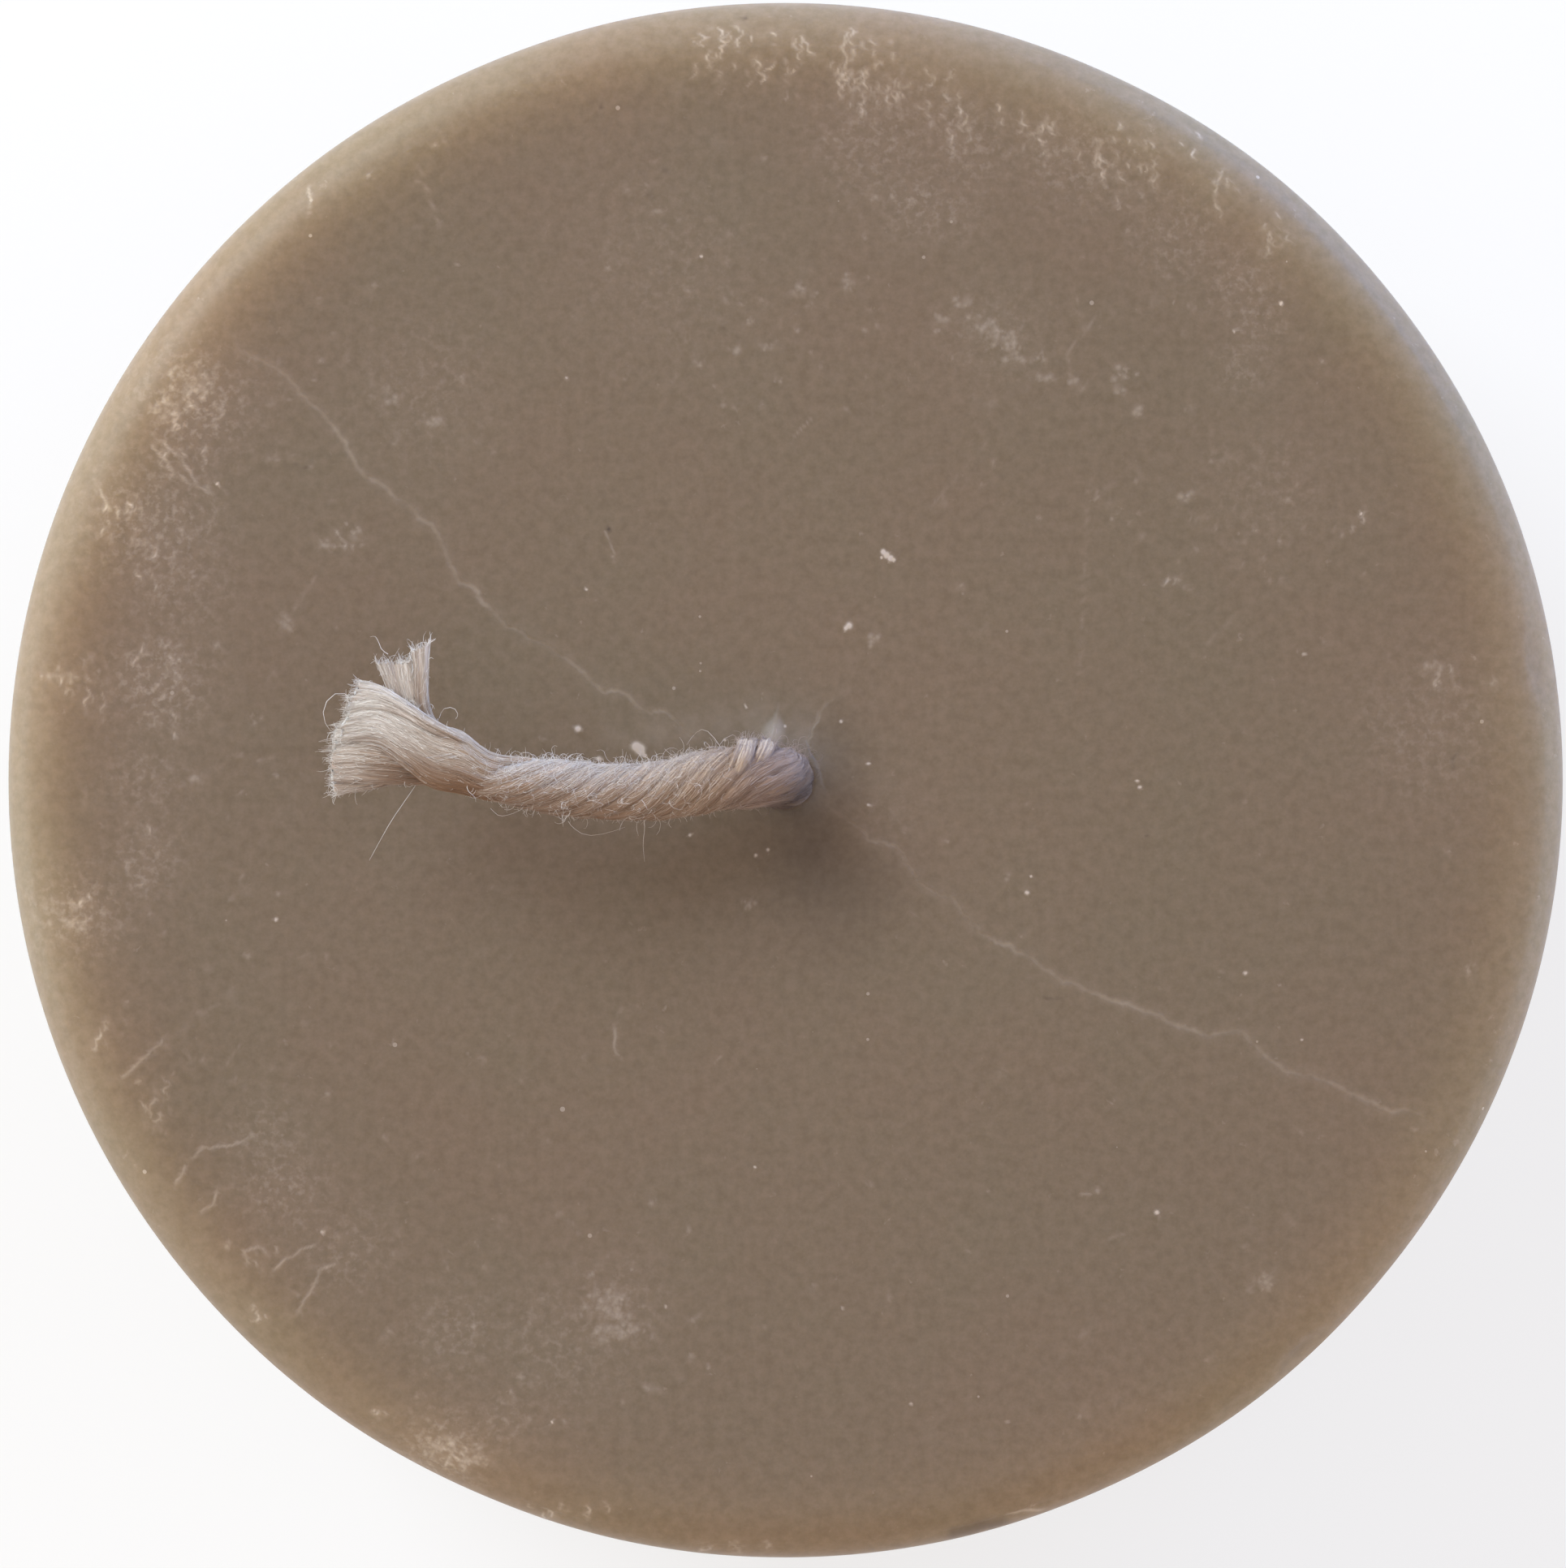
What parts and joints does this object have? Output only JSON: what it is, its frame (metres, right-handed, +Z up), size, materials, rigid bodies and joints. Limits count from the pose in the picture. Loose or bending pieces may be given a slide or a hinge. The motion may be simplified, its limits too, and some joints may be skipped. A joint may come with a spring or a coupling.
{
  "type": "pillar candle",
  "caption": "Cylindrical pillar candle of taupe wax with a softly rounded rim, a crazed and cracked top, and a twisted cotton wick bent over to a frayed tuft.",
  "frame": {"origin": "centre of the flat base", "axes": "+Z up along the candle's axis; the wick bends over towards -X"},
  "size_m": [0.07, 0.07, 0.1076],
  "materials": {
    "wax": "dull translucent taupe wax, paler and glowing at the rounded rim",
    "cotton": "unbleached off-white cotton, laid left-handed and frayed at its cut end"
  },
  "bodies": {
    "root": {"wax_body": "wax", "wick": "cotton"}
  },
  "joints": []
}
